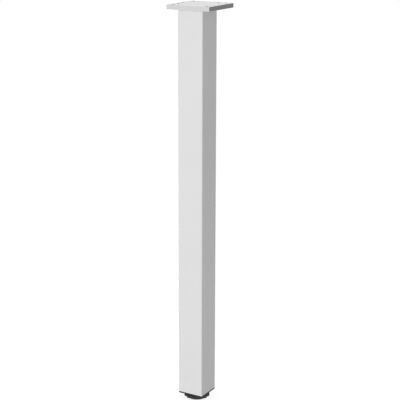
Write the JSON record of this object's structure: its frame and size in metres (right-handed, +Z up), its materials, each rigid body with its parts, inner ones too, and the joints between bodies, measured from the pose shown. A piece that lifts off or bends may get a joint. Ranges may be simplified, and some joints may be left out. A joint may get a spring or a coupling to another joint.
{
  "type": "square table leg",
  "caption": "Square steel table leg with a welded, off-centre screw plate on top and a black screw-out levelling foot that is turned by its fluted wheel.",
  "frame": {"origin": "on the floor, at the centre of the foot pad's underside, on the tube's axis", "axes": "+Z up along the tube; X and Y square to the tube's faces, with the plate set off towards +X and +Y"},
  "size_m": [0.085, 0.085, 0.734],
  "materials": {
    "tube_coat": "satin pale grey powder coat",
    "plate_steel": "satin metal",
    "black_plastic": "fine moulded grain",
    "zinc_steel": "zinc plated",
    "pad_plastic": "smooth, slightly worn"
  },
  "bodies": {
    "leg": {"leg_tube": "tube_coat", "mounting_plate": "plate_steel", "weld_seam": "tube_coat", "end_cap": "black_plastic", "threaded_bush": "zinc_steel"},
    "glide": {"foot_pad": "pad_plastic"},
    "adjuster": {"adjuster_stud": "zinc_steel", "grip_wheel": "black_plastic"}
  },
  "joints": [
    {"name": "foot_height", "type": "slide", "parent": "leg", "child": "glide", "axis": [0, 0, -1], "range_m": [-0.0016, 0.0181]},
    {"name": "foot_turn", "type": "hinge", "parent": "glide", "child": "adjuster", "pos_m": [0, 0, 0.006], "axis": [0, 0, -1], "range_deg": [-360, 4320]}
  ],
  "couplings": [
    {"joint": "foot_height", "follows": "foot_turn", "m_per_rad": 0.00023873}
  ]
}
